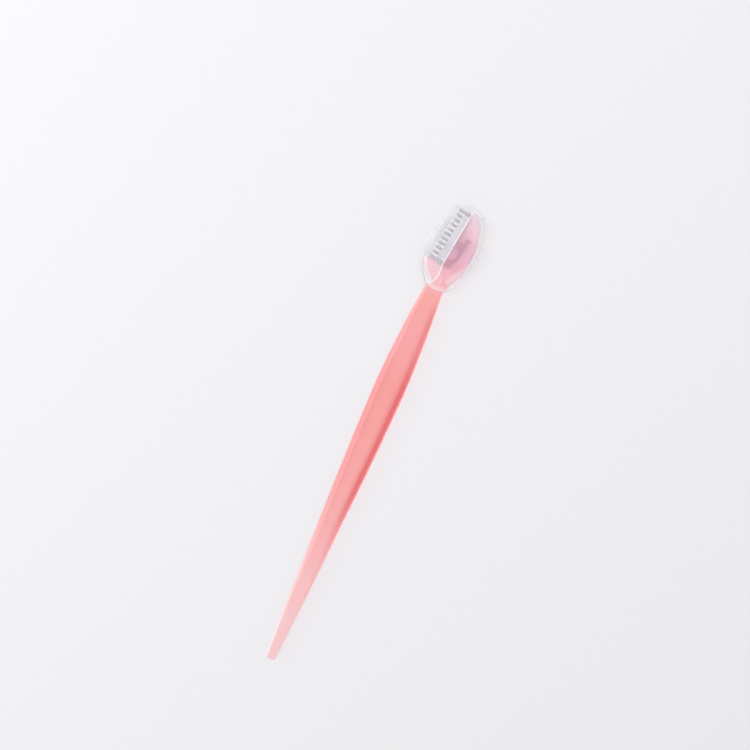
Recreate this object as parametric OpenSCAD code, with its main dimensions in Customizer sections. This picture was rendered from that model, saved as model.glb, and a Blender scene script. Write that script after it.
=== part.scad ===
// Eyebrow razor. A slim moulded handle holds a straight blade by its tang, a folded guard with a row
// of slots sits on the cutting edge, and a clear cap pulls off the head. The razor lies on its back:
// the head points along +Y, the cutting edge faces -X and the front face is up. The lengths are in mm.

/* [Shaft] */
// Distance from the tail to the start of the head
shaft_length = 116.6; // [104:0.1:130]
// Greatest width of the shaft
shaft_width = 9.1; // [7.5:0.1:11]
// Greatest thickness of the shaft
shaft_thick = 4.5; // [3.6:0.1:5.4]
// Distance from the tail to the widest place
belly_place = 84; // [74:1:92]
// Width of the tail
tail_width = 2.9; // [2.6:0.1:4]
// Thickness of the tail
tail_thick = 2.3; // [1.8:0.1:2.5]
// Rounding of the tail's rim
tail_round = 0.7; // [0.3:0.1:0.8]
// Rounding of the long edges at the tail
tail_edge = 0.6; // [0.3:0.1:0.9]
// Height of the narrow flat along the sides, where the mould parts
side_flat = 0.2; // [0.1:0.05:0.4]
// Distance from the tail to where the shaft has its full thickness
full_from = 48; // [36:1:60]
// Distance from the tail to where the full thickness ends
full_to = 94; // [88:1:98]
// Width of the neck
neck_width = 5.7; // [5:0.1:6.2]
// Thickness of the neck
neck_thick = 2.3; // [2:0.1:2.35]
// Distance from the head's start back to the neck's narrowest place
neck_back = 2.3; // [1.5:0.1:3]
// Length of the neck's flare into the head
neck_flare = 4.5; // [4:0.5:6]

/* [Head] */
// Thickness of the head plate
plate_thick = 2.4; // [2.4:0.05:2.6]
// Half of the head plate's oval, across the handle
plate_half_width = 6.2; // [5.8:0.1:6.3]
// Half of the head plate's oval, along the handle
plate_half_length = 11.5; // [11.3:0.05:12.3]
// Added length of the oval's lower half, towards the neck
oval_drop = 1; // [0.6:0.1:1.2]
// Rounding of the head plate's outer rim
plate_round = 0.9; // [0.4:0.1:1.1]
// Distance from the shaft's axis to the oval's middle
head_shift = 0.4; // [0:0.1:0.6]
// Distance from the shaft's axis to the lower end of the plate's straight edge
straight_start = 1.4; // [1.2:0.1:1.6]
// Slant of the plate's straight edge, in degrees
straight_slant = 6.85; // [6:0.05:7.5]
// Radius of the heel's round outline
heel_radius = 9.3; // [9:0.1:9.8]
// Direction from the straight edge's lower end to the middle of that round, in degrees
heel_turn = 30.4; // [29:0.1:32]
// Thickness of the heel
heel_thick = 1.2; // [0.8:0.1:1.6]
// Width of the raised mark that holds the cap
bump_width = 1.7; // [1.2:0.1:2]
// Length of the raised mark
bump_length = 2.8; // [2.2:0.1:3.2]
// Height of the raised mark over the head plate
bump_height = 0.32; // [0.1:0.02:0.36]

/* [Blade] */
// Length of the cutting edge
blade_length = 16.7; // [16.1:0.1:17]
// Thickness of the blade
blade_thick = 0.25; // [0.15:0.01:0.3]
// Slant of the cutting edge, in degrees
blade_slant = 9.1; // [8.5:0.1:9.6]
// Distance from the shaft's axis to the lower end of the cutting edge
blade_side = 5.1; // [4.8:0.1:5.2]
// Distance along the handle from the head's start to the blade's lower end
blade_rise = 5.8; // [5.6:0.1:6]
// Width of the ground bevel
grind_width = 0.8; // [0.4:0.1:1.2]
// Depth of the blade's back in the head plate
bed_depth = 0.9; // [0.6:0.05:1]
// Distance from the cutting edge to the far side of the tang
tang_reach = 7.6; // [7.4:0.1:7.9]
// Distance along the cutting edge from the blade's lower end to the tang
tang_rise = 0.4; // [0.2:0.1:0.6]
// Length of the tang along the cutting edge
tang_length = 8.1; // [7.8:0.1:8.4]
// Radius of the half-round window in the tang
window_radius = 2; // [1.6:0.05:2.1]
// Width of the slanted cut at the tang's lower corner
tang_chamfer = 0.8; // [0.5:0.1:0.9]
// Clearance between the blade and its pocket
blade_fit = 0.03; // [0.02:0.01:0.05]

/* [Guard] */
// Thickness of the guard's foil
foil_thick = 0.12; // [0.08:0.01:0.15]
// Clearance between the foil and the blade
foil_gap = 0.04; // [0.02:0.01:0.06]
// Distance from the blade's lower end to the guard
guard_start = 1.3; // [1.1:0.1:1.5]
// Number of slots in the guard
slot_count = 9; // [5:1:9]
// Length of each slot, in from the cutting edge
slot_length = 2.05; // [1.4:0.05:2.4]
// Width of each slot
slot_width = 0.93; // [0.7:0.01:0.95]
// Width of each bar between two slots
bar_width = 0.6; // [0.4:0.01:0.6]
// Depth of the guard's legs in the head plate
guard_bed = 0.25; // [0.15:0.01:0.3]

/* [Cap] */
// Wall of the cap
cap_wall = 0.8; // [0.6:0.05:0.9]
// Clearance over and under the head plate
cap_gap = 0.45; // [0.4:0.01:0.55]
// Clearance beside the head plate
cap_side_gap = 0.4; // [0.4:0.05:0.7]
// Clearance beyond the head plate's ends
cap_end_gap = 0.8; // [0.6:0.05:1.2]
// Clearance between the cap and the guarded edge
cap_edge_gap = 0.5; // [0.3:0.05:0.8]
// Fullness of the cap's oval, where 2 is an ellipse
cap_fullness_share = 2.2; // [2:0.05:2.4]
// Rounding of the cap's rim
cap_round = 1.5; // [1:0.1:1.8]
// Added reach of the cap's mouth, past its oval
cap_lip = 0.6; // [0.2:0.1:0.7]
// Distance along the handle from the cap's mouth to the ends of its side walls
mouth_depth = 10.4; // [10.1:0.1:11]
// Added clearance over and under at the mouth
mouth_ease = 0.03; // [0.02:0.01:0.05]

/* [Hidden] */

// Shares and counts of steps
taper_power_share = 1.45;
ellipse_share = 2;
corner_steps = 5;
tail_steps = 4;
shaft_steps = 30;
neck_steps = 14;
oval_steps = 72;
rim_steps = 5;
round_fn = 64;

// Small sizes, each named for what it shapes
flare_inset = 0.15;
foot_height = 1.7;
cut_height = 1.8;
step_height = 1.8;
step_width = 1.35;
hook_width = 0.5;
hook_height = 0.55;
window_rise = 4.5;
window_bed = 0.45;
bump_rise = 0.8;
overrun = 2;

// The head's places, measured from the tail and from the shaft's axis
head_y = shaft_length + plate_half_length;
corner = [-straight_start, shaft_length];
heel_middle = corner + heel_radius * [sin(heel_turn), cos(heel_turn)];
edge_start = [-blade_side, shaft_length + blade_rise];
edge_end = edge_start + blade_length * [sin(blade_slant), cos(blade_slant)];

// The pocket of the cap follows the head plate, and clears the guarded edge and its upper end
edge_reach = head_shift + blade_side + foil_gap + foil_thick;
pocket_half_width = max(plate_half_width + cap_side_gap, edge_reach + cap_edge_gap);
end_share = pow((head_shift - edge_end.x) / pocket_half_width, cap_fullness_share);
end_reach = (edge_end.y - head_y) / pow(1 - end_share, 1 / cap_fullness_share);
pocket_half_length = max(plate_half_length + cap_end_gap, end_reach + cap_edge_gap);
pocket_thick = plate_thick + 2 * cap_gap;
cap_half_width = pocket_half_width + cap_wall;
cap_half_length = pocket_half_length + cap_wall;
cap_thick = pocket_thick + 2 * cap_wall;

// The shaft's places, measured from the tail
neck_y = shaft_length - neck_back;
shaft_end = neck_y + neck_flare;
mid_z = max(shaft_thick, cap_thick) / 2;
total_length = head_y + cap_half_length;

// The origin lies under the middle of the whole razor
origin_shift = [-head_shift, -total_length / 2, mid_z];

// Seen along the cutting edge, the plate's straight edge draws nearer by this much per length
edge_closing = tan(blade_slant - straight_slant);
corner_offset = corner - edge_start;
corner_across = corner_offset.x * cos(blade_slant) - corner_offset.y * sin(blade_slant);
corner_along = corner_offset.x * sin(blade_slant) + corner_offset.y * cos(blade_slant);

slot_pitch = slot_width + bar_width;
guard_length = slot_count * slot_pitch + bar_width;
guard_end = guard_start + guard_length;
guard_inner = blade_thick + 2 * foil_gap;
guard_outer = guard_inner + 2 * foil_thick;

// Distance from the cutting edge to the plate's straight edge, at a place along the cutting edge
function bed(along) = corner_across - (along - corner_along) * edge_closing;

// Rises smoothly from 0 to 1 as its value goes from 0 to 1
function ease(value) = value <= 0 ? 0 : value >= 1 ? 1 : value * value * (3 - 2 * value);

// How much the rounded rim takes off the tail
function tail_inset(y) = y >= tail_round ? 0
    : tail_round - sqrt(max(0, pow(tail_round, 2) - pow(tail_round - y, 2)));

// How far to the right the head plate's oval reaches, at a place below its middle
function plate_side(y) = head_shift
    + plate_half_width * sqrt(1 - pow((head_y - y) / (plate_half_length + oval_drop), 2));

// Half the shaft's width, its thickness and the flare that leads it into the head plate
function taper(y) = 1 - pow(1 - y / belly_place, taper_power_share);
function slimming(y) = cos(90 * min(1, (y - belly_place) / (neck_y - belly_place)));
function shaft_half(y) = y < belly_place
    ? tail_width / 2 + (shaft_width - tail_width) / 2 * taper(y)
    : neck_width / 2 + (shaft_width - neck_width) / 2 * slimming(y);
function shaft_depth(y) = y < full_to
    ? tail_thick + (shaft_thick - tail_thick) * ease(y / full_from)
    : neck_thick + (shaft_thick - neck_thick) * (1 - ease((y - full_to) / (neck_y - full_to)));
function flare(y) = y <= neck_y ? 0
    : (plate_side(shaft_end) - flare_inset - neck_width / 2) * (1 - cos(90 * (y - neck_y) / neck_flare));

// Rounding of the long edges: it grows from the tail until the shaft's sides are fully round
function edge_round(y) = tail_edge + (shaft_depth(y) / 2 - tail_edge) * ease(y / full_from);

// One cross-section of the shaft: flat front and back, with its four long edges rounded
function shaft_ring(y) =
    let (
        high = shaft_depth(y) / 2 - tail_inset(y),
        radius = min(edge_round(y), high - side_flat / 2),
        right = shaft_half(y) - tail_inset(y) + flare(y) - radius,
        left = shaft_half(y) - tail_inset(y) - radius
    )
    [for (corner_of = [[right, 1, 90], [right, -1, 0], [-left, -1, -90], [-left, 1, -180]])
        for (i = [0 : corner_steps]) let (turn = corner_of[2] - 90 * i / corner_steps) [
            corner_of[0] + radius * cos(turn),
            y,
            corner_of[1] * (high - radius) + radius * sin(turn)
        ]];

// How far along an axis a full oval reaches, for the sine or cosine of a direction
function reach(value, fullness) = sign(value) * pow(abs(value), ellipse_share / fullness);

// One level of an oval pillow, drawn in by its rounded rim; side is -1 at the back and 1 at the front,
// and lip makes the lower half longer
function oval_ring(half_width, half_length, half_thick, rim, turn, side, fullness, lip) =
    let (inset = rim * (1 - cos(turn)), level = side * (half_thick - rim + rim * sin(turn)))
    [for (i = [0 : oval_steps - 1]) let (way = 360 * i / oval_steps) [
        (half_width - inset) * reach(cos(way), fullness),
        (half_length + (way > 180 ? lip : 0) - inset) * reach(sin(way), fullness),
        level
    ]];

// Skins a row of rings with the same number of points, which run anticlockwise seen from the last ring
module loft(rings) {
    count = len(rings[0]);
    last = len(rings) - 1;
    polyhedron(
        points = [for (ring = rings) for (point = ring) point],
        faces = concat(
            [[for (i = [0 : count - 1]) i]],
            [[for (i = [count - 1 : -1 : 0]) last * count + i]],
            [for (j = [0 : last - 1]) for (i = [0 : count - 1]) let (next = (i + 1) % count)
                [j * count + next, j * count + i, (j + 1) * count + i]],
            [for (j = [0 : last - 1]) for (i = [0 : count - 1]) let (next = (i + 1) % count)
                [j * count + next, (j + 1) * count + i, (j + 1) * count + next]]
        )
    );
}

// A flat oval pillow with a rounded rim, in the middle of the head
module pillow(half_width, half_length, thick, rim, fullness = ellipse_share, lip = 0) {
    levels = concat(
        [for (k = [rim_steps : -1 : 0]) [90 * k / rim_steps, -1]],
        [for (k = [0 : rim_steps]) [90 * k / rim_steps, 1]]
    );
    translate([head_shift, head_y, 0]) loft([
        for (level = levels)
            oval_ring(half_width, half_length, thick / 2, rim, level[0], level[1], fullness, lip)
    ]);
}

// Puts its children in the row frame
module place() {
    translate(origin_shift) children();
}

// Puts its children in the blade's own frame: x runs in from the cutting edge and y along it
module along_edge() {
    translate([edge_start.x, edge_start.y, 0]) rotate([0, 0, -blade_slant]) children();
}

// A slab of the given thickness, centred on the blade's plane
module slab(thick) {
    linear_extrude(height = thick, center = true) children();
}

// Everything on the blade's side of the plate's straight edge
module blade_side_area() {
    translate(corner) rotate(-straight_slant)
        translate([-plate_half_length, -plate_half_length])
            square([plate_half_length, 4 * plate_half_length]);
}

// The thin area of the head on the blade's side, above the heel's round outline
module thin_area() {
    intersection() {
        blade_side_area();
        union() {
            translate(heel_middle) circle(r = heel_radius, $fn = 2 * round_fn);
            translate([-2 * plate_half_length, heel_middle.y])
                square([4 * plate_half_length, 2 * plate_half_length]);
        }
    }
}

// Outline of the blade's strip and its tang, before the window is cut, drawn larger all round by grow
module steel_outline(grow) {
    root = bed(blade_length);
    cut_start = tang_rise + foot_height;
    step_top = tang_rise + tang_length + step_height;
    polygon([
        [-grow, -grow],
        [bed(0) + bed_depth + grow, -grow],
        [bed(blade_length) + bed_depth + grow, blade_length + grow],
        [-grow, blade_length + grow]
    ]);
    polygon([
        [root, tang_rise - grow],
        [tang_reach - tang_chamfer + grow, tang_rise - grow],
        [tang_reach - tang_chamfer + grow, cut_start],
        [tang_reach + grow, cut_start + cut_height],
        [tang_reach + grow, tang_rise + tang_length + grow],
        [root, tang_rise + tang_length + grow]
    ]);
    translate([tang_reach - step_width - grow, tang_rise + tang_length / 2])
        square([step_width + 2 * grow, tang_length / 2 + step_height + grow]);
    translate([tang_reach - grow, step_top - hook_height - grow])
        square([hook_width + 2 * grow, hook_height + 2 * grow]);
}

// Outline of the blade with its tang and window, drawn larger all round by grow
module blade_outline(grow = 0) {
    along_edge() difference() {
        steel_outline(grow);
        translate([bed(window_rise) + window_bed, window_rise]) intersection() {
            circle(r = window_radius - grow, $fn = round_fn);
            translate([grow, -window_radius]) square([window_radius, 2 * window_radius]);
        }
    }
}

// Outline of the guard seen from the front, drawn larger all round by grow
module guard_outline(grow = 0) {
    along_edge()
        polygon([
            [-overrun, guard_start - grow],
            [bed(guard_start) + guard_bed + grow, guard_start - grow],
            [bed(guard_end) + guard_bed + grow, guard_end + grow],
            [-overrun, guard_end + grow]
        ]);
}

// Cross-section of a folded strip: flat legs and a round fold at the cutting edge
module fold_profile(thick, fold_place) {
    translate([fold_place + thick / 2, 0]) circle(d = thick, $fn = round_fn);
    translate([fold_place + thick / 2, -thick / 2]) square([plate_half_width, thick]);
}

// Sweeps a cross-section along the cutting edge, from one place on it to another
module run_along(from, to) {
    translate([0, to, 0]) rotate([90, 0, 0]) linear_extrude(height = to - from) children();
}

module shaft() {
    stations = concat(
        [for (k = [0 : tail_steps - 1]) tail_round * (1 - cos(90 * k / tail_steps))],
        [for (k = [0 : shaft_steps - 1]) tail_round + (full_to - tail_round) * k / shaft_steps],
        [for (k = [0 : neck_steps]) full_to + (shaft_end - full_to) * k / neck_steps]
    );
    loft([for (y = stations) shaft_ring(y)]);
}

module heel() {
    slab(heel_thick) intersection() {
        thin_area();
        along_edge() translate([-plate_half_length, -2 * plate_half_length - blade_fit])
            square([2 * plate_half_length, 2 * plate_half_length]);
    }
}

module bump() {
    translate([head_shift, shaft_length + bump_rise, 0])
        linear_extrude(height = plate_thick / 2 + bump_height) {
            for (way = [-1, 1]) translate([0, way * (bump_length - bump_width) / 2])
                circle(d = bump_width, $fn = round_fn);
            square([bump_width, bump_length - bump_width], center = true);
        }
}

module handle() {
    color([0.97, 0.60, 0.63]) place() difference() {
        union() {
            difference() {
                union() {
                    shaft();
                    pillow(
                        plate_half_width,
                        plate_half_length,
                        plate_thick,
                        plate_round,
                        lip = oval_drop
                    );
                }
                slab(shaft_thick) thin_area();
            }
            heel();
            bump();
        }
        slab(blade_thick + 2 * blade_fit) blade_outline(blade_fit);
        slab(guard_outer + 2 * blade_fit) guard_outline(blade_fit);
    }
}

module blade() {
    color([0.75, 0.76, 0.78]) place() difference() {
        slab(blade_thick) blade_outline();
        for (side = [0, 1]) mirror([0, 0, side]) along_edge() run_along(-overrun, blade_length + overrun)
            polygon([
                [0, 0],
                [grind_width, blade_thick / 2],
                [grind_width, blade_thick],
                [-overrun, blade_thick],
                [-overrun, 0]
            ]);
    }
}

module blade_guard() {
    color([0.85, 0.86, 0.88]) place() difference() {
        intersection() {
            along_edge() run_along(guard_start, guard_end) difference() {
                fold_profile(guard_outer, -foil_gap - foil_thick);
                fold_profile(guard_inner, -foil_gap);
            }
            slab(guard_outer + 2 * foil_gap) guard_outline();
        }
        for (k = [0 : slot_count - 1])
            along_edge() translate([-overrun, guard_start + bar_width + k * slot_pitch, -guard_outer])
                cube([overrun + slot_length, slot_width, 2 * guard_outer]);
    }
}

module cap() {
    color([0.92, 0.93, 0.95, 0.35]) place() difference() {
        pillow(
            cap_half_width,
            cap_half_length,
            cap_thick,
            cap_round,
            cap_fullness_share,
            cap_lip
        );
        pillow(
            pocket_half_width,
            pocket_half_length,
            pocket_thick,
            cap_round - cap_wall,
            cap_fullness_share,
            cap_lip
        );
        translate([head_shift, head_y - cap_half_length - cap_lip - overrun, 0])
            slab(pocket_thick + 2 * mouth_ease)
                translate([-2 * cap_half_width, 0])
                    square([4 * cap_half_width, overrun + mouth_depth]);
    }
}

handle();
blade();
blade_guard();
cap();
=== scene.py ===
# %% [markdown]
# # An eyebrow razor
# A slim razor of clear pink plastic lies on its back on a pale table. A short straight blade is held
# in its flat oval head, a folded guard with a row of slots sits on the cutting edge, and a clear cap
# covers the head. The razor's own lengths below are in millimetres and are turned into metres where a
# point is made. The camera's place, the lamps, the table and the materials are set in metres.

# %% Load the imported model, which is the frame that every piece is placed in
import bmesh
import bpy
from math import asin, atan2, cos, pi, radians, sin, sqrt
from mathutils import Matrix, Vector


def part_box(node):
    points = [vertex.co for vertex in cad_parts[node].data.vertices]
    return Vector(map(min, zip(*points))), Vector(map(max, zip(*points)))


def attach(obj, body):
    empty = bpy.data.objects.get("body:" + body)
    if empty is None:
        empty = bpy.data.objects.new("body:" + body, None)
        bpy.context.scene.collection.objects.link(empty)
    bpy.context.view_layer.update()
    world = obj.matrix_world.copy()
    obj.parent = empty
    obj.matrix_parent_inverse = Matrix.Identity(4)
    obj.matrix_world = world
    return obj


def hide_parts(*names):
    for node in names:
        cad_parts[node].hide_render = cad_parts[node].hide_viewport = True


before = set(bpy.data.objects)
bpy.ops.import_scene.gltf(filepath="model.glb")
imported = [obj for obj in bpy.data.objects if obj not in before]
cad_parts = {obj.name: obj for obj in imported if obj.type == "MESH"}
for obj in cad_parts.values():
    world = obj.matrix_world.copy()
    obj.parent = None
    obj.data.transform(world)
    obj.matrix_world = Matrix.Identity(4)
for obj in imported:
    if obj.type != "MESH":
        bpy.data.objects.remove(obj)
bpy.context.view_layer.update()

scene = bpy.context.scene
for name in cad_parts:
    low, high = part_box(name)
    print(name, [round(1000 * (high[i] - low[i]), 2) for i in range(3)], "mm")

# %% [markdown]
# ## The view
# The picture looks straight down on the table, with the razor leaning to the right. Turning the
# camera about its own line of sight leans the razor, so the razor itself stays in its frame.

# %% Camera
FIELD = 0.213
LENS = 100
SENSOR = 36
LEAN = 23.9
LOOK_AT = (-0.0058, 0.0151)
RAZOR_MIDDLE = 0.0025

camera_data = bpy.data.cameras.new("camera")
camera_data.lens = LENS
camera_data.sensor_width = SENSOR
camera = bpy.data.objects.new("camera", camera_data)
scene.collection.objects.link(camera)
camera_height = FIELD * LENS / SENSOR + RAZOR_MIDDLE
camera.location = (*LOOK_AT, camera_height)
camera.rotation_euler = (0, 0, radians(LEAN))
scene.camera = camera
print("camera height", round(camera_height, 3), "m")

# %% [markdown]
# ## The light
# A product table has light from everywhere, so the world gives most of it. A large soft lamp at the
# upper left of the picture makes the sheen on the plastic and the soft edge of the shadow. A small
# weak one at the upper right is there for the rim of the cap.

# %% World, lamps and colour management
WORLD_LEVEL = 0.67
LAMP_LEVEL = 0.35
RIM_LEVEL = 0.05

scene.view_settings.view_transform = "Standard"
world = bpy.data.worlds.new("studio")
world.use_nodes = True
world.node_tree.nodes["Background"].inputs["Color"].default_value = (1, 1, 1, 1)
world.node_tree.nodes["Background"].inputs["Strength"].default_value = WORLD_LEVEL
scene.world = world


def soft_lamp(name, where, size, level):
    """A square lamp that looks at the razor; level is the share of plain white light it adds there."""
    data = bpy.data.lights.new(name, "AREA")
    data.shape = "SQUARE"
    data.size = size
    place = Vector(where)
    slope = place.z / place.length
    data.energy = level * pi * pi * place.length ** 2 / slope
    lamp = bpy.data.objects.new(name, data)
    lamp.location = place
    lamp.rotation_euler = place.to_track_quat("Z", "Y").to_euler()
    scene.collection.objects.link(lamp)
    print(name, round(data.energy, 2), "W")


soft_lamp("key_lamp", (-0.95, 0.15, 0.64), 0.8, LAMP_LEVEL)
soft_lamp("rim_lamp", (0.42, 0.85, 0.5), 0.12, RIM_LEVEL)

# %% [markdown]
# ## Helpers for materials
# Each finish is a small tree of nodes. These few helpers make a node, link it and set its numbers, so
# that every material below reads as a list of what it is made of.

# %% Node helpers
NOISE_SPAN = (0.3, 0.7)


def new_material(name):
    """A material with its own node tree, and the Principled shader in it."""
    material = bpy.data.materials.new(name)
    material.use_nodes = True
    return material, material.node_tree.nodes["Principled BSDF"]


def node(material, kind, **settings):
    """A new node in the material's tree, with its settings."""
    made = material.node_tree.nodes.new("ShaderNode" + kind)
    for key, value in settings.items():
        setattr(made, key, value)
    return made


def link(material, out, to):
    """Joins an output to an input."""
    material.node_tree.links.new(out, to)


def object_place(material):
    """The point's place on the piece, in metres, and its three parts."""
    place = node(material, "TexCoord").outputs["Object"]
    parts = node(material, "SeparateXYZ")
    link(material, place, parts.inputs[0])
    return place, parts


def remap(material, value, low, high, to_low=0.0, to_high=1.0, smooth=True):
    """Turns a range of values into another, and holds it at both ends."""
    ranged = node(material, "MapRange", interpolation_type="SMOOTHSTEP" if smooth else "LINEAR")
    link(material, value, ranged.inputs["Value"])
    ranged.inputs["From Min"].default_value = low
    ranged.inputs["From Max"].default_value = high
    ranged.inputs["To Min"].default_value = to_low
    ranged.inputs["To Max"].default_value = to_high
    return ranged.outputs["Result"]


def mix_colour(material, share, first, second):
    """Mixes two colours, each a fixed colour or another node's output."""
    mixed = node(material, "Mix", data_type="RGBA")
    sockets = [s for s in mixed.inputs if s.enabled]
    for socket, value in zip(sockets, (share, first, second)):
        if isinstance(value, (int, float)):
            socket.default_value = value
        elif isinstance(value, tuple):
            socket.default_value = (*value, 1)
        else:
            link(material, value, socket)
    return [s for s in mixed.outputs if s.enabled][0]


def combine(material, operation, first, second, third=None):
    """A Math node on numbers or outputs."""
    made = node(material, "Math", operation=operation)
    for socket, value in zip(made.inputs, (first, second, third)):
        if isinstance(value, (int, float)):
            socket.default_value = value
        elif value is not None:
            link(material, value, socket)
    return made.outputs[0]


def mottle(material, place, scale, detail=3, stretch=(1, 1, 1)):
    """Soft noise on the piece's own coordinates; scale is in patches per metre."""
    mapping = node(material, "Mapping")
    mapping.inputs["Scale"].default_value = stretch
    link(material, place, mapping.inputs["Vector"])
    noise = node(material, "TexNoise")
    noise.inputs["Scale"].default_value = scale
    noise.inputs["Detail"].default_value = detail
    link(material, mapping.outputs[0], noise.inputs["Vector"])
    return noise.outputs["Fac"]


def let_light_through(material, shader, tint):
    """Lets shadow rays and rays from matt surfaces pass, tinted, which keeps the shadow pale."""
    clear = node(material, "BsdfTransparent")
    clear.inputs["Color"].default_value = (*tint, 1)
    out = material.node_tree.nodes["Material Output"]
    path = node(material, "LightPath")
    surface = shader.outputs[0]
    for ray in ("Is Diffuse Ray", "Is Shadow Ray"):
        mixed = node(material, "MixShader")
        link(material, path.outputs[ray], mixed.inputs[0])
        link(material, surface, mixed.inputs[1])
        link(material, clear.outputs[0], mixed.inputs[2])
        surface = mixed.outputs[0]
    link(material, surface, out.inputs["Surface"])


def relief(material, shader, height, strength, distance):
    """Bump from a height pattern, on the shader's normal."""
    bump = node(material, "Bump")
    bump.inputs["Strength"].default_value = strength
    bump.inputs["Distance"].default_value = distance
    link(material, height, bump.inputs["Height"])
    link(material, bump.outputs[0], shader.inputs["Normal"])


# %% [markdown]
# ## The table
# The floor is a plain pale table top. Its colour, and not extra light, makes it pale.

# %% Floor
FLOOR_COLOUR = (0.862, 0.862, 0.886)
FLOOR_PATCHES = 0.985
FLOOR_HALF = 1.5
FLOOR_DROP = 0.00005

floor_mesh = bpy.data.meshes.new("floor")
shape = bmesh.new()
bmesh.ops.create_grid(shape, x_segments=1, y_segments=1, size=FLOOR_HALF)
shape.to_mesh(floor_mesh)
shape.free()
floor = bpy.data.objects.new("floor", floor_mesh)
floor.location.z = -FLOOR_DROP
scene.collection.objects.link(floor)
floor_material, floor_shader = new_material("pale_table")
floor_shader.inputs["Roughness"].default_value = 0.7
place, _ = object_place(floor_material)
link(
    floor_material,
    mix_colour(
        floor_material,
        mottle(floor_material, place, 300),
        tuple(FLOOR_PATCHES * c for c in FLOOR_COLOUR),
        FLOOR_COLOUR,
    ),
    floor_shader.inputs["Base Color"],
)
floor_mesh.materials.append(floor_material)
print("floor", 2 * FLOOR_HALF, "m wide")

# %% [markdown]
# ## Helpers for shapes
# The handle and the cap are skins over rings: a first ring is drawn, and each next one is extruded
# from it and set in its place, as one would do by hand with Extrude and Scale. The razor's own
# lengths run from the tail along the handle and out from its middle line, so one helper puts such a
# point in the frame.

# %% Shape helpers
HEAD_SHIFT = 0.4
TOTAL_LENGTH = 141.2
MIDDLE_HEIGHT = 2.45
MERGE = 1e-6


def spot(across, along, up=0.0):
    """A point in metres, from millimetres out from the handle's middle line, along it and up."""
    return Vector((across - HEAD_SHIFT, along - TOTAL_LENGTH / 2, up + MIDDLE_HEIGHT)) / 1000


def pale_layer(shape):
    """A number kept at each vertex, which tells the material how pale the plastic is there."""
    return shape.verts.layers.float.get("pale") or shape.verts.layers.float.new("pale")


def set_ring(shape, verts, points):
    """Puts a loop of vertices on a ring's points, and notes how pale the plastic is at each."""
    pale = pale_layer(shape)
    for vert, point in zip(verts, points):
        vert.co = point[0]
        vert[pale] = point[1]


def first_ring(shape, points):
    """A closed loop of vertices from a circle, set on the ring's points in order."""
    # The layer comes first, because adding one later would lose hold of the vertices
    pale_layer(shape)
    made = bmesh.ops.create_circle(shape, segments=len(points), radius=0.01)["verts"]
    set_ring(shape, made, points)
    return made


def next_ring(shape, ring, points):
    """Extrudes the last ring and sets the new loop on its points."""
    count = len(ring)
    edges = [shape.edges.get((ring[i], ring[(i + 1) % count])) for i in range(count)]
    made = bmesh.ops.extrude_edge_only(shape, edges=edges)["geom"]
    fresh = {v for v in made if isinstance(v, bmesh.types.BMVert)}
    following = []
    for vert in ring:
        partners = (edge.other_vert(vert) for edge in vert.link_edges)
        following.append(next(partner for partner in partners if partner in fresh))
    set_ring(shape, following, points)
    return following


def skin(shape, rings):
    """A closed skin over a row of rings with the same number of points, with a face over each end."""
    ring = first_ring(shape, rings[0])
    shape.faces.new(ring)
    for points in rings[1:]:
        ring = next_ring(shape, ring, points)
    shape.faces.new(ring)


def finish_piece(shape, name, material, body, stands_for=(), crease=35):
    """Closes the shape, points its faces outwards, and makes it a piece that rides on a body."""
    bmesh.ops.remove_doubles(shape, verts=shape.verts[:], dist=MERGE)
    bmesh.ops.recalc_face_normals(shape, faces=shape.faces[:])
    for face in shape.faces:
        face.smooth = True
    mesh = bpy.data.meshes.new(name)
    shape.to_mesh(mesh)
    shape.free()
    mesh.set_sharp_from_angle(angle=radians(crease))
    piece = bpy.data.objects.new(name, mesh)
    scene.collection.objects.link(piece)
    mesh.materials.append(material)
    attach(piece, body)
    if stands_for:
        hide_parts(*stands_for)
    print(name, len(mesh.polygons), "faces")


# %% [markdown]
# ## The handle's outline
# The shaft is slim at the tail, widest almost three quarters of the way up, and draws in to a neck.
# Past the neck the right side flares into the oval of the head, whose lower half is a little longer
# than its upper one, while the left side steps in to the straight edge that the blade comes out of.
# The same few numbers give the width, the thickness and the rounding of the long edges anywhere.

# %% Lengths of the handle
BELLY_PLACE = 84
TAPER = 1.45
TAIL_HALF = 1.45
BELLY_HALF = 4.55
NECK_HALF = 2.85
NECK_PLACE = 114.3
TAIL_DEPTH = 2.3
FULL_DEPTH = 4.5
NECK_DEPTH = 2.3
PLATE_DEPTH = 2.4
FULL_FROM = 48
FULL_TO = 94
TAIL_ROUND = 0.7
TAIL_EDGE = 0.6
SIDE_FLAT = 0.2
OVAL_MIDDLE = Vector((0.4, 128.1))
OVAL_HALF = Vector((6.2, 11.5))
OVAL_DROP = 1.0
FLARE_LENGTH = 4.5
FLARE_WIDTH = 1.54
PLATE_ROUND = 0.9
CORNER = Vector((-1.4, 116.6))
STRAIGHT_SLANT = radians(6.85)
STRAIGHT_ROUND = 0.14
SHOULDER_PLACE = 115.2


def ease(value):
    """Rises smoothly from 0 to 1."""
    value = min(1, max(0, value))
    return value * value * (3 - 2 * value)


def shaft_half(y):
    """Half the shaft's width."""
    if y < BELLY_PLACE:
        return TAIL_HALF + (BELLY_HALF - TAIL_HALF) * (1 - (1 - y / BELLY_PLACE) ** TAPER)
    share = min(1, (y - BELLY_PLACE) / (NECK_PLACE - BELLY_PLACE))
    return NECK_HALF + (BELLY_HALF - NECK_HALF) * cos(share * pi / 2)


def shaft_depth(y):
    """The shaft's thickness."""
    if y < FULL_TO:
        return TAIL_DEPTH + (FULL_DEPTH - TAIL_DEPTH) * ease(y / FULL_FROM)
    thin = ease((y - FULL_TO) / (NECK_PLACE - FULL_TO))
    return FULL_DEPTH + (NECK_DEPTH - FULL_DEPTH) * thin


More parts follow.
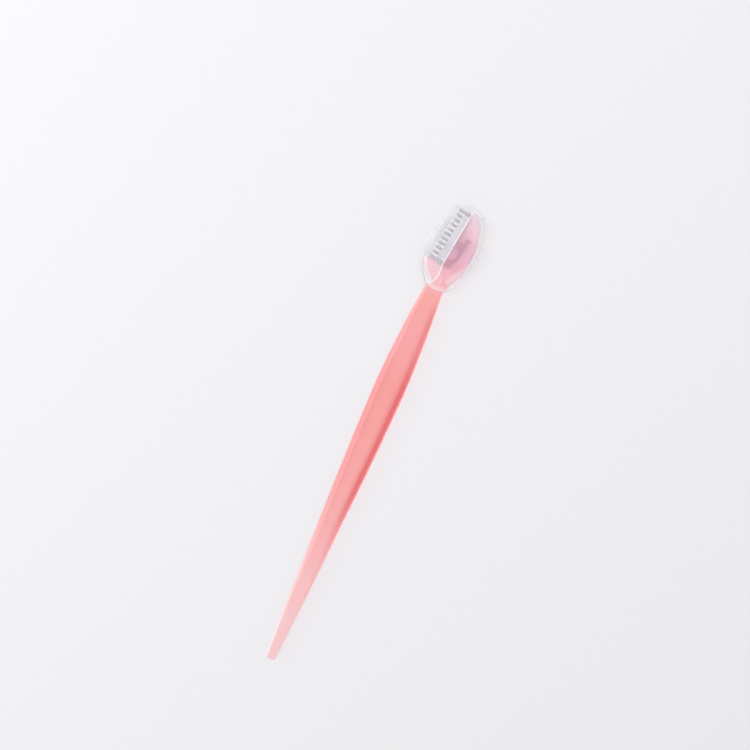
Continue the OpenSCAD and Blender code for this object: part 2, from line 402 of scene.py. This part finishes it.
def flare(y):
    """How much the right side widens past the neck."""
    return FLARE_WIDTH * (1 - cos(pi / 2 * (y - NECK_PLACE) / FLARE_LENGTH)) if y > NECK_PLACE else 0


def right_point(y):
    """A point on the right outline of the shaft and its flare."""
    return Vector((shaft_half(y) + flare(y), y))


def edge_round(y):
    """Rounding of the long edges, which grows until the sides are fully round."""
    half = shaft_depth(y) / 2
    return min(TAIL_EDGE + (half - TAIL_EDGE) * ease(y / FULL_FROM), half - SIDE_FLAT / 2)


def oval_point(turn):
    """A point on the oval of the head, whose lower half is longer, and the direction out of it."""
    length = OVAL_HALF.y + (OVAL_DROP if turn < 0 else 0)
    point = OVAL_MIDDLE + Vector((OVAL_HALF.x * cos(turn), length * sin(turn)))
    out = Vector((cos(turn) / OVAL_HALF.x, sin(turn) / length)).normalized()
    return point, out


for label, at in (("belly", BELLY_PLACE), ("neck", NECK_PLACE)):
    print("width at the", label, round(2 * shaft_half(at), 2), "mm")

# %% [markdown]
# Each rung of the handle joins a point on the left outline to one on the right. From every outline
# point the rim turns over by its own rounding, and the flat faces lie between the two rims. On the
# shaft the rungs go straight across, and on the head they fan out so that they stay square to the
# oval, which keeps the rounded rim even right up to the tip. Each point also carries how pale the
# plastic is there: 1 is the palest, 0 is plain, and below 0 the pink is deeper.

# %% Rims and rungs
# The pale borders set here are a painted highlight along the rims of the handle.
SHAFT_BORDER = 0.5
LINE_BORDER = 0.65
OVAL_BORDER = 0.42
LEAST_BORDER = 0.05
# The left side gets only a share of the deeper pink: the deeper right side is painted shade, away from
# the lamp.
LEFT_SHARE = 0.35
LEFT_MOST = 0.44
RIGHT_MOST = 0.5
FADE_SLOPE = 1.6
HUMP_SLOPE = 4
HUMP_REACH = 0.3
RIM_STEPS = 7
FACE_STEPS = 4


def rim_profile(rounding, half):
    """Steps from the middle of the side up to the face: how far in, and how high."""
    steps = [(0.0, 0.0)]
    for i in range(RIM_STEPS):
        turn = pi / 2 * i / (RIM_STEPS - 1)
        steps.append((rounding * (1 - cos(turn)), half - rounding + rounding * sin(turn)))
    return steps


def rim_side(outline, out, rounding, half, border, pale, body, most, deep=0.0):
    """The points from an outline point in to the face: the rim, then where the pale border ends."""
    steps = rim_profile(rounding, half)
    steps.append((max(border, rounding + LEAST_BORDER), half))
    points = []
    for inward, up in steps:
        inward = min(inward, most)
        fading = min(1, FADE_SLOPE * max(0, 1 - inward / border))
        hump = ease(HUMP_SLOPE * (1 - inward / (rounding + HUMP_REACH)))
        paleness = (body - deep * hump) * (1 - fading) + pale * fading
        points.append((outline - out * inward, up, paleness))
    return points


def rung(left, right, half, body=0.0, deep=0.0):
    """One closed ring of the handle. A side is its outline point, the way out, the rounding, the width
    of its pale border and how pale that is."""
    width = (right[0] - left[0]).length
    front = rim_side(*left[:3], half, *left[3:], body, LEFT_MOST * width, LEFT_SHARE * deep)
    right_side = rim_side(*right[:3], half, *right[3:], body, RIGHT_MOST * width, deep)
    inner_left, inner_right = front[-1][0], right_side[-1][0]
    for i in range(1, FACE_STEPS):
        front.append((inner_left.lerp(inner_right, i / FACE_STEPS), half, body))
    front += right_side[::-1]
    ring = [(spot(p.x, p.y, up), pale) for p, up, pale in front]
    ring += [(spot(p.x, p.y, -up), pale) for p, up, pale in front[-2:0:-1]]
    return ring


# %% Rungs of the shaft, from the rounded tail to the shoulder
TAIL_STEPS = 6
SHAFT_STEPS = 57
TAIL_PALE = 0.9
PALE_FALL = 0.6
PALE_LENGTH = 60
DEEP_FROM = 28
DEEP_RISE = 30
DEEP_LOSS = 0.4
DEEP_LOSS_LENGTH = 14
DEEP_TO = 105
DEEP_FADE = 8


def side_depth(y):
    """How deep the pink is beside the rims: it grows up the shaft and fades out towards the neck."""
    grown = ease((y - DEEP_FROM) / DEEP_RISE)
    past_belly = 1 - DEEP_LOSS * ease((y - BELLY_PLACE) / DEEP_LOSS_LENGTH)
    return grown * past_belly * (1 - ease((y - DEEP_TO) / DEEP_FADE))


rungs = []
for k in range(TAIL_STEPS):
    y = TAIL_ROUND * (1 - cos(pi / 2 * k / TAIL_STEPS))
    inset = TAIL_ROUND - sqrt(TAIL_ROUND ** 2 - (TAIL_ROUND - y) ** 2)
    half = shaft_depth(y) / 2 - inset
    side = shaft_half(y) - inset
    rounding = min(edge_round(y), half - SIDE_FLAT / 2)
    sides = [
        (Vector((way * side, y)), Vector((way, 0)), rounding, SHAFT_BORDER, TAIL_PALE)
        for way in (-1, 1)
    ]
    rungs.append(rung(*sides, half))
for k in range(SHAFT_STEPS + 1):
    y = TAIL_ROUND + (SHOULDER_PLACE - TAIL_ROUND) * k / SHAFT_STEPS
    half = shaft_depth(y) / 2
    pale = TAIL_PALE - PALE_FALL * ease(y / PALE_LENGTH)
    rungs.append(
        rung(
            (Vector((-shaft_half(y), y)), Vector((-1, 0)), edge_round(y), SHAFT_BORDER, pale),
            (right_point(y), Vector((1, 0)), edge_round(y), SHAFT_BORDER, pale),
            half,
            deep=side_depth(y),
        )
    )
print(len(rungs), "rungs of", len(rungs[0]), "points on the shaft")

# %% [markdown]
# The shoulder draws the left side in to the corner of the head, while the right side runs on along
# the flare. Beside the heel the plate's straight edge bows in by half a millimetre at most.

# %% Rungs of the shoulder
SHOULDER_STEPS = 6
SHOULDER_PALE = 0.45
FLARE_OUT = Vector((0.9, -0.435))
FOOT_BOW = 0.5
BOW_RISE = 1.5
BOW_FROM = 2.2
BOW_FADE = 4
straight_way = Vector((sin(STRAIGHT_SLANT), cos(STRAIGHT_SLANT)))
straight_out = Vector((-cos(STRAIGHT_SLANT), sin(STRAIGHT_SLANT)))


def straight_edge(length):
    """A point on the plate's straight edge, which bows in a little beside the heel."""
    bow = FOOT_BOW * ease(length / BOW_RISE) * (1 - ease((length - BOW_FROM) / BOW_FADE))
    return CORNER + straight_way * length - straight_out * bow


for k in range(1, SHOULDER_STEPS + 1):
    share = k / SHOULDER_STEPS
    y = SHOULDER_PLACE + (CORNER.y - SHOULDER_PLACE) * share
    left = Vector((-NECK_HALF, SHOULDER_PLACE)).lerp(CORNER, ease(share))
    left.y = y
    half = NECK_DEPTH / 2 + (PLATE_DEPTH - NECK_DEPTH) / 2 * ease(share)
    left_round = edge_round(y) + (STRAIGHT_ROUND - edge_round(y)) * ease(share)
    right_round = edge_round(y) + (PLATE_ROUND - edge_round(y)) * ease(share)
    left_pale = SHOULDER_PALE + (1 - SHOULDER_PALE) * share
    right_out = FLARE_OUT * share + Vector((1 - share, 0))
    rungs.append(
        rung(
            (left, Vector((-1, 0)), left_round, LINE_BORDER, left_pale),
            (right_point(y), right_out, right_round, OVAL_BORDER, SHOULDER_PALE),
            half,
        )
    )

# %% [markdown]
# Over the head the rungs fan out from the straight edge to the oval, up to the tip. Low on the right
# the pale border spreads inwards and is weaker, as the photograph shows it.

# %% Rungs of the head
FAN_STEPS = 46
TIP_TURN = radians(81.2)
TIP_GAP = 0.12
JOIN_PLACE = 117.5
JOIN_SHARE = 0.04
JOIN_BLEND = 0.1
LOW_FROM = 0.1
LOW_LENGTH = 0.25
LOW_SPREAD = 1.9
LOW_FALL = 0.5
LEAST_ROUND = 0.12
GAP_SHARE = 0.8
LEAST_ACROSS = 0.2
join_turn = asin((JOIN_PLACE - OVAL_MIDDLE.y) / (OVAL_HALF.y + OVAL_DROP))
tip, _ = oval_point(TIP_TURN)
straight_length = (tip - CORNER).dot(straight_way) - TIP_GAP
for k in range(1, FAN_STEPS + 1):
    share = k / FAN_STEPS
    left = straight_edge(straight_length * share)
    reach = share * (1 + JOIN_SHARE) - JOIN_SHARE
    if reach < 0:
        y = JOIN_PLACE + (JOIN_PLACE - CORNER.y) * reach / JOIN_SHARE
        right, right_out = right_point(y), FLARE_OUT
    else:
        right, right_out = oval_point(join_turn + (TIP_TURN - join_turn) * reach)
        right_out = right_out.lerp(FLARE_OUT, max(0, 1 - reach / JOIN_BLEND)).normalized()
    low = 1 - ease((reach - LOW_FROM) / LOW_LENGTH)
    gap = abs((right - CORNER).dot(straight_out))
    across = abs(right_out.dot(straight_out))
    rounding = min(PLATE_ROUND, max(LEAST_ROUND, GAP_SHARE * gap / max(across, LEAST_ACROSS)))
    rungs.append(
        rung(
            (left, straight_out, STRAIGHT_ROUND, LINE_BORDER, 1.0),
            (right, right_out, rounding, OVAL_BORDER + LOW_SPREAD * low, 1 - LOW_FALL * low),
            PLATE_DEPTH / 2,
        )
    )
print(len(rungs), "rungs with the head")

# %% [markdown]
# ## The pink plastic
# The handle is moulded in a clear pink plastic with a little milk in it, and the steel in the head
# shows through. The Principled shader sends part of the light through and scatters the rest in pink.
#
# The shader tints light at the surface only, however thick the plastic is, so the paler and deeper
# zones are painted. A ramp of colours runs along the handle, paler at the thin tail and deeper at the
# thick belly, and the number that the rungs left at each vertex makes the thin heel paler. That number
# also makes the rims paler, a painted highlight along the edges, and the sides deeper, the right one
# most, which is partly the rounded sides and partly painted shade on the side away from the lamp. The
# ramp's colours were given, and corrected where a render differed from the photograph.

# %% Material of the handle
handle_plastic, shader = new_material("pink_plastic")
RAMP_FROM = -0.0706
RAMP_TO = 0.0694
CLOUD_COLOUR = (0.97, 0.36, 0.38)
DEEP_COLOUR = (0.82, 0.12, 0.14)
PALE_COLOUR = (1.0, 0.91, 0.92)
CLOUD_SPAN = (0.4, 0.75)
CLOUD_SHARE = 0.16
DEEP_SHARE = 0.8
SHAFT_CLEAR = 0.6
HEAD_CLEAR = 0.53
HEAD_SPAN = (0.044, 0.05)
TIP_MILK = 0.12
TIP_SPAN = (0.059, 0.067)
PALE_SPAN = (0.75, 1.0)
PALE_CLEAR = 0.2
PLASTIC_IOR = 1.49
SATIN = (0.34, 0.42)
HEAD_GLOSS = -0.96
GLOSS_SPAN = (0.043, 0.047)
RIPPLE_STRENGTH = 0.04
RIPPLE_HEIGHT = 0.0002
PINK_SHADOW = (1.0, 0.94, 0.95)
STOPS = (
    (0.00, (0.99, 0.69, 0.69)),
    (0.09, (0.99, 0.68, 0.68)),
    (0.13, (0.99, 0.63, 0.63)),
    (0.18, (0.99, 0.61, 0.61)),
    (0.25, (0.99, 0.53, 0.54)),
    (0.36, (0.98, 0.49, 0.475)),
    (0.50, (0.98, 0.445, 0.425)),
    (0.60, (0.98, 0.42, 0.40)),
    (0.71, (0.99, 0.47, 0.47)),
    (0.80, (0.98, 0.475, 0.435)),
    (0.85, (1.0, 0.57, 0.64)),
    (0.90, (1.0, 0.59, 0.76)),
    (0.95, (1.0, 0.69, 0.79)),
    (1.00, (1.0, 0.90, 0.95)),
)

place, parts = object_place(handle_plastic)
along = parts.outputs["Y"]
ramp = node(handle_plastic, "ValToRGB")
on_ramp = remap(handle_plastic, along, RAMP_FROM, RAMP_TO, smooth=False)
link(handle_plastic, on_ramp, ramp.inputs[0])
while len(ramp.color_ramp.elements) < len(STOPS):
    ramp.color_ramp.elements.new(0.5)
for element, (position, colour) in zip(ramp.color_ramp.elements, STOPS):
    element.position = position
    element.color = (*colour, 1)
cloud = mottle(handle_plastic, place, 90, stretch=(1, 0.3, 1))
cloudy = remap(handle_plastic, cloud, *CLOUD_SPAN, 0, CLOUD_SHARE)
tint = mix_colour(handle_plastic, cloudy, ramp.outputs[0], CLOUD_COLOUR)
pale = node(handle_plastic, "Attribute", attribute_name="pale").outputs["Fac"]
# Deeper pink at the sides: partly the rounded sides, partly painted shade, most on the right.
below_plain = combine(handle_plastic, "MULTIPLY", pale, -1)
deep = remap(handle_plastic, below_plain, 0, 1, 0, DEEP_SHARE, smooth=False)
tint = mix_colour(handle_plastic, deep, tint, DEEP_COLOUR)
# Paler at the thin heel, and at the rims, where the paleness is a painted highlight along the edges.
paleness = remap(handle_plastic, pale, 0, 1, smooth=False)
tint = mix_colour(handle_plastic, paleness, tint, PALE_COLOUR)
link(handle_plastic, tint, shader.inputs["Base Color"])
clear = remap(handle_plastic, along, *HEAD_SPAN, SHAFT_CLEAR, HEAD_CLEAR)
tip_milk = remap(handle_plastic, along, *TIP_SPAN, 0, TIP_MILK)
clear = combine(handle_plastic, "SUBTRACT", clear, tip_milk)
# The pale rims are also less clear, part of the same painted highlight.
rim_highlight_milk = remap(handle_plastic, pale, *PALE_SPAN, 1.0, PALE_CLEAR)
clear = combine(handle_plastic, "MULTIPLY", clear, rim_highlight_milk)
link(handle_plastic, clear, shader.inputs["Transmission Weight"])
shader.inputs["IOR"].default_value = PLASTIC_IOR
satin = remap(handle_plastic, mottle(handle_plastic, place, 250), *NOISE_SPAN, *SATIN)
polish = remap(handle_plastic, along, *GLOSS_SPAN)
dulness = combine(handle_plastic, "MULTIPLY_ADD", polish, HEAD_GLOSS, 1)
rough = combine(handle_plastic, "MULTIPLY", satin, dulness)
link(handle_plastic, rough, shader.inputs["Roughness"])
ripples = mottle(handle_plastic, place, 400, stretch=(1, 0.15, 1))
relief(handle_plastic, shader, ripples, RIPPLE_STRENGTH, RIPPLE_HEIGHT)
let_light_through(handle_plastic, shader, PINK_SHADOW)
print("pink plastic:", len(handle_plastic.node_tree.nodes), "nodes")

# %% [markdown]
# The handle is three closed skins that run a little way into each other: the shaft with its plate,
# the thin heel below the blade, and the raised mark.

# %% Make the handle and its heel
HEEL_MIDDLE = Vector((3.306, 124.621))
HEEL_RADIUS = 9.3
HEEL_DEPTH = 1.2
HEEL_ROUND = 0.35
HEEL_BORDER = 0.55
HEEL_PALE = 0.38
# The heel's rim is paler than its body, a painted highlight along its outline.
HEEL_RIM_PALE = 0.8
HEEL_PAST_EDGE = 0.75
HEEL_OVERLAP = 0.1
HEEL_LEAST = 0.3
HEEL_STEPS = 18
INNER_ROUND = 0.02
INNER_BORDER = 0.1
EDGE_START = Vector((-5.1, 122.4))
BLADE_SLANT = radians(9.1)
edge_way = Vector((sin(BLADE_SLANT), cos(BLADE_SLANT)))
edge_in = Vector((cos(BLADE_SLANT), -sin(BLADE_SLANT)))
shape = bmesh.new()
skin(shape, rungs)


def turn_from_heel(point):
    """The direction of a point from the middle of the heel's round outline."""
    return atan2(point.y - HEEL_MIDDLE.y, point.x - HEEL_MIDDLE.x) % (2 * pi)


# The heel's round outline runs from the corner out to just past the blade's lower end
low_turn = turn_from_heel(CORNER)
high_turn = turn_from_heel(EDGE_START - edge_in * HEEL_PAST_EDGE)
blade_foot = (EDGE_START - CORNER).dot(edge_way) / straight_way.dot(edge_way)
heel_rungs = []
for k in range(HEEL_STEPS + 1):
    share = k / HEEL_STEPS
    turn = low_turn + (high_turn - low_turn) * share
    out = Vector((cos(turn), sin(turn)))
    inner = straight_edge(blade_foot * share) - straight_out * HEEL_OVERLAP
    outer = HEEL_MIDDLE + out * HEEL_RADIUS
    if (outer - inner).dot(straight_out) < HEEL_LEAST:
        outer = inner + straight_out * HEEL_LEAST
    heel_rungs.append(
        rung(
            (outer, out, HEEL_ROUND, HEEL_BORDER, HEEL_RIM_PALE),
            (inner, -straight_out, INNER_ROUND, INNER_BORDER, HEEL_PALE),
            HEEL_DEPTH / 2,
            HEEL_PALE,
        )
    )
skin(shape, heel_rungs)
print(len(heel_rungs), "rungs in the heel")

# %% [markdown]
# A small oval boss on the front of the neck lies under the cap's lip, where a real one would hold the
# cap with a light snap. Its top is dished.

# %% The raised mark, which completes the handle
MARK_MIDDLE = Vector((0.4, 117.4))
MARK_HALF = 0.85
MARK_STRETCH = 0.55
MARK_POINTS = 40
MARK_PALE = 0.35
# How far each level is drawn in, and its height over the plate
MARK_LEVELS = (
    (0.0, -0.1),
    (0.0, 0.14),
    (0.05, 0.24),
    (0.14, 0.3),
    (0.24, 0.32),
    (0.36, 0.29),
    (0.46, 0.2),
    (0.6, 0.16),
)
mark_rings = []
for inset, up in MARK_LEVELS:
    ring = []
    for i in range(MARK_POINTS):
        turn = 2 * pi * i / MARK_POINTS
        across = (MARK_HALF - inset) * cos(turn)
        stretch = MARK_STRETCH if sin(turn) > 0 else -MARK_STRETCH
        y = MARK_MIDDLE.y + (MARK_HALF - inset) * sin(turn) + stretch
        ring.append((spot(MARK_MIDDLE.x + across, y, PLATE_DEPTH / 2 + up), MARK_PALE))
    mark_rings.append(ring)
skin(shape, mark_rings)
finish_piece(shape, "handle_body", handle_plastic, "razor", ("handle",))

# %% [markdown]
# ## The blade
# The blade is a thin strip of steel whose tang sits inside the head. The imported solid already has its
# outline and its ground bevels, so it stays, and it gets a brushed finish. Inside the head the steel is
# painted a dark plum: the pink that it shows through, and painted shade for the dark that the steel
# reflects inside the plastic. Behind the guard's slots it is painted a little darker than at its bare
# ends, so that the slots look darker: painted shade in the slots between the bars.

# %% Material of the blade
SLOT_REACH = 0.0020
SLOTS_FROM = 0.0017
SLOTS_TO = 0.0153
SOFT_EDGE = 0.0002
BURIED_SPAN = (-0.0001, 0.0003)
BURIED_SHADE_COLOUR = (0.40, 0.14, 0.26)
SLOT_SHADE_COLOUR = (0.73, 0.71, 0.73)
STEEL_TONES = ((0.74, 0.69, 0.72), (0.86, 0.81, 0.84))
STEEL_ROUGHNESS = (0.16, 0.28)


def distance(material, place, start, way):
    """How far a place lies from a start, measured along a direction, in metres."""
    direction = Vector((way.x, way.y, 0))
    measure = node(material, "VectorMath", operation="DOT_PRODUCT")
    link(material, place, measure.inputs[0])
    measure.inputs[1].default_value = direction
    return combine(material, "SUBTRACT", measure.outputs["Value"], spot(*start).dot(direction))


blade_steel, shader = new_material("blade_steel")
place, _ = object_place(blade_steel)
streaks = mottle(blade_steel, place, 900, detail=4, stretch=(1, 0.06, 1))
tone = mix_colour(blade_steel, streaks, *STEEL_TONES)
# Painted shade: the steel inside the head is painted dark plum.
into_head = distance(blade_steel, place, CORNER, -straight_out)
inside = remap(blade_steel, into_head, *BURIED_SPAN)
tone = mix_colour(blade_steel, inside, tone, BURIED_SHADE_COLOUR)
in_from_edge = distance(blade_steel, place, EDGE_START, edge_in)
along_edge = distance(blade_steel, place, EDGE_START, edge_way)
# Painted shade: the steel behind the guard's slots is painted darker.
slot_shade = combine(
    blade_steel,
    "MULTIPLY",
    remap(blade_steel, in_from_edge, SLOT_REACH - SOFT_EDGE, SLOT_REACH + SOFT_EDGE, 1, 0),
    combine(
        blade_steel,
        "MULTIPLY",
        remap(blade_steel, along_edge, SLOTS_FROM - SOFT_EDGE, SLOTS_FROM + SOFT_EDGE),
        remap(blade_steel, along_edge, SLOTS_TO - SOFT_EDGE, SLOTS_TO + SOFT_EDGE, 1, 0),
    ),
)
tone = mix_colour(blade_steel, slot_shade, tone, SLOT_SHADE_COLOUR)
link(blade_steel, tone, shader.inputs["Base Color"])
shader.inputs["Metallic"].default_value = 1.0
rough = remap(blade_steel, streaks, *NOISE_SPAN, *STEEL_ROUGHNESS)
link(blade_steel, rough, shader.inputs["Roughness"])
relief(blade_steel, shader, streaks, 0.15, 0.00005)
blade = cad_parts["blade"]
blade.data.materials.clear()
blade.data.materials.append(blade_steel)
print("blade steel:", len(blade_steel.node_tree.nodes), "nodes")

# %% [markdown]
# ## The guard
# The guard is a strip of bright foil folded over the edge, with nine slots that let the edge through.
# Its bars are painted a little whiter than the band beside them, a painted highlight for the light that
# the bars catch.
# The fold itself keeps the tone of the band.

# %% Material of the guard
FOLD_FROM = 0.0002
FOLD_TO = 0.0005
BAR_LIGHT_COLOUR = (0.79, 0.79, 0.82)
FOIL_TONES = ((0.62, 0.60, 0.66), (0.73, 0.71, 0.77))
FOIL_ROUGHNESS = (0.55, 0.7)

guard_foil, shader = new_material("guard_foil")
place, _ = object_place(guard_foil)
streaks = mottle(guard_foil, place, 1200, detail=3, stretch=(1, 0.1, 1))
tone = mix_colour(guard_foil, streaks, *FOIL_TONES)
in_from_edge = distance(guard_foil, place, EDGE_START, edge_in)
# Painted highlight: the bars are whiter than the band, for the light that they catch.
bar_light = combine(
    guard_foil,
    "MULTIPLY",
    remap(guard_foil, in_from_edge, FOLD_FROM, FOLD_TO),
    remap(guard_foil, in_from_edge, SLOT_REACH - SOFT_EDGE, SLOT_REACH + SOFT_EDGE, 1, 0),
)
tone = mix_colour(guard_foil, bar_light, tone, BAR_LIGHT_COLOUR)
link(guard_foil, tone, shader.inputs["Base Color"])
shader.inputs["Metallic"].default_value = 0.9
rough = remap(guard_foil, streaks, *NOISE_SPAN, *FOIL_ROUGHNESS)
link(guard_foil, rough, shader.inputs["Roughness"])
relief(guard_foil, shader, streaks, 0.1, 0.00004)
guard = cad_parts["blade_guard"]
guard.data.materials.clear()
guard.data.materials.append(guard_foil)
print("guard foil:", len(guard_foil.node_tree.nodes), "nodes")

# %% [markdown]
# ## The cap
# The cap is a clear shell with an oval outline. It is open at its lower end, where the side walls stop
# and two lips run on over the neck. Its rim is painted white, and its rim and lips are made a little
# milky: a painted highlight that shows them as bright lines.

# %% Material of the cap
CAP_HALF = Vector((7.4, 13.1))
CAP_FULLNESS = 2.2
CAP_CLEAR = 0.985
RIM_HIGHLIGHT_MILK = -0.12
LIP_HIGHLIGHT_MILK = 0.1
CAP_IOR = 1.22
CAP_TONES = ((0.985, 0.982, 0.988), (0.995, 0.995, 0.998))
CAP_RIM_HIGHLIGHT = (1.0, 1.0, 1.0)
CAP_ROUGHNESS = (0.03, 0.07)
CAP_SHADOW = (0.997, 0.997, 0.998)
RIM_SPAN = (0.8, 1.0)
LIP_SPAN = (0.0447, 0.0462)

cap_plastic, shader = new_material("clear_plastic")
place, parts = object_place(cap_plastic)
oval_parts = []
cap_middle = OVAL_MIDDLE.y - TOTAL_LENGTH / 2
for socket, middle, half in (("X", 0.0, CAP_HALF.x), ("Y", cap_middle, CAP_HALF.y)):
    shifted = combine(cap_plastic, "SUBTRACT", parts.outputs[socket], middle / 1000)
    share = combine(cap_plastic, "MULTIPLY", combine(cap_plastic, "ABSOLUTE", shifted, 0), 1000 / half)
    oval_parts.append(combine(cap_plastic, "POWER", share, CAP_FULLNESS))
how_far_out = combine(cap_plastic, "ADD", *oval_parts)
# Painted highlight: the rim is whiter and less clear, so that it shows as a bright line.
rim = remap(cap_plastic, how_far_out, *RIM_SPAN)
haze = mottle(cap_plastic, place, 120)
body = mix_colour(cap_plastic, haze, *CAP_TONES)
link(cap_plastic, mix_colour(cap_plastic, rim, body, CAP_RIM_HIGHLIGHT), shader.inputs["Base Color"])
clear = combine(cap_plastic, "MULTIPLY_ADD", rim, RIM_HIGHLIGHT_MILK, CAP_CLEAR)
# The lips are less clear too, a painted highlight along the mouth.
lip_highlight = remap(cap_plastic, parts.outputs["Y"], *LIP_SPAN, LIP_HIGHLIGHT_MILK, 0.0)
clear = combine(cap_plastic, "SUBTRACT", clear, lip_highlight)
link(cap_plastic, clear, shader.inputs["Transmission Weight"])
shader.inputs["IOR"].default_value = CAP_IOR
rough = remap(cap_plastic, haze, *NOISE_SPAN, *CAP_ROUGHNESS)
link(cap_plastic, rough, shader.inputs["Roughness"])
let_light_through(cap_plastic, shader, CAP_SHADOW)
print("clear plastic:", len(cap_plastic.node_tree.nodes), "nodes")

# %% [markdown]
# Two closed ovals, one inside the other, and a block for the mouth make the shell: the inner oval and
# the block are cut away. The block is a hair lower than the pocket, so that it leaves no step across
# the clear roof.

# %% Shapes of the cap
CAP_DEPTH = 4.9
CAP_ROUND = 1.5
CAP_WALL = 0.8
LIP_REACH = 0.6
POCKET_HALF = Vector((6.6, 12.3))
POCKET_DEPTH = 3.3
MOUTH_DEPTH = 9.8
MOUTH_HEIGHT = 3.26
MOUTH_WIDTH = 30
OVERRUN = 2
OVAL_STEPS = 128
ROUND_STEPS = 8
OVAL_MERGE = 1e-7


def oval_ring(half, inset, up):
    """One level of the oval: a circle drawn out to the cap's fuller outline."""
    ring = []
    for i in range(OVAL_STEPS):
        turn = 2 * pi * i / OVAL_STEPS
        out, on = (
            abs(part) ** (2 / CAP_FULLNESS) * (1 if part >= 0 else -1)
            for part in (cos(turn), sin(turn))
        )
        longer = LIP_REACH if on < 0 else 0
        across = OVAL_MIDDLE.x + (half.x - inset) * out
        y = OVAL_MIDDLE.y + (half.y + longer - inset) * on
        ring.append((spot(across, y, up), 0.0))
    return ring


def pillow(half, depth, rounding):
    """A closed flat oval with a rounded rim."""
    shape = bmesh.new()
    levels = []
    for side in (-1, 1):
        turns = [pi / 2 * k / ROUND_STEPS for k in range(ROUND_STEPS + 1)]
        for turn in turns[::-1] if side < 0 else turns:
            height = depth / 2 - rounding + rounding * sin(turn)
            levels.append((rounding * (1 - cos(turn)), side * height))
    skin(shape, [oval_ring(half, inset, up) for inset, up in levels])
    bmesh.ops.remove_doubles(shape, verts=shape.verts[:], dist=OVAL_MERGE)
    bmesh.ops.recalc_face_normals(shape, faces=shape.faces[:])
    return shape


def as_object(shape, name):
    """Makes an object of a shape, so that one can be cut from another."""
    mesh = bpy.data.meshes.new(name)
    shape.to_mesh(mesh)
    shape.free()
    made = bpy.data.objects.new(name, mesh)
    scene.collection.objects.link(made)
    return made


# %% Make the cap
outer = as_object(pillow(CAP_HALF, CAP_DEPTH, CAP_ROUND), "cap_outer")
inner = as_object(pillow(POCKET_HALF, POCKET_DEPTH, CAP_ROUND - CAP_WALL), "cap_inner")
block_length = OVERRUN + MOUTH_DEPTH
block_size = Vector((MOUTH_WIDTH, block_length, MOUTH_HEIGHT)) / 1000
block_middle = OVAL_MIDDLE.y - CAP_HALF.y - OVERRUN + block_length / 2
shape = bmesh.new()
bmesh.ops.create_cube(shape, size=1)
bmesh.ops.scale(shape, vec=block_size, verts=shape.verts[:])
bmesh.ops.translate(shape, vec=spot(OVAL_MIDDLE.x, block_middle), verts=shape.verts[:])
mouth = as_object(shape, "cap_mouth")
for cutter in (inner, mouth):
    cut = outer.modifiers.new("cut", "BOOLEAN")
    cut.operation = "DIFFERENCE"
    cut.solver = "EXACT"
    cut.object = cutter
graph = bpy.context.evaluated_depsgraph_get()
shape = bmesh.new()
shape.from_object(outer, graph)
for helper in (outer, inner, mouth):
    bpy.data.objects.remove(helper)
finish_piece(shape, "clear_cap", cap_plastic, "cap", ("cap",), crease=30)
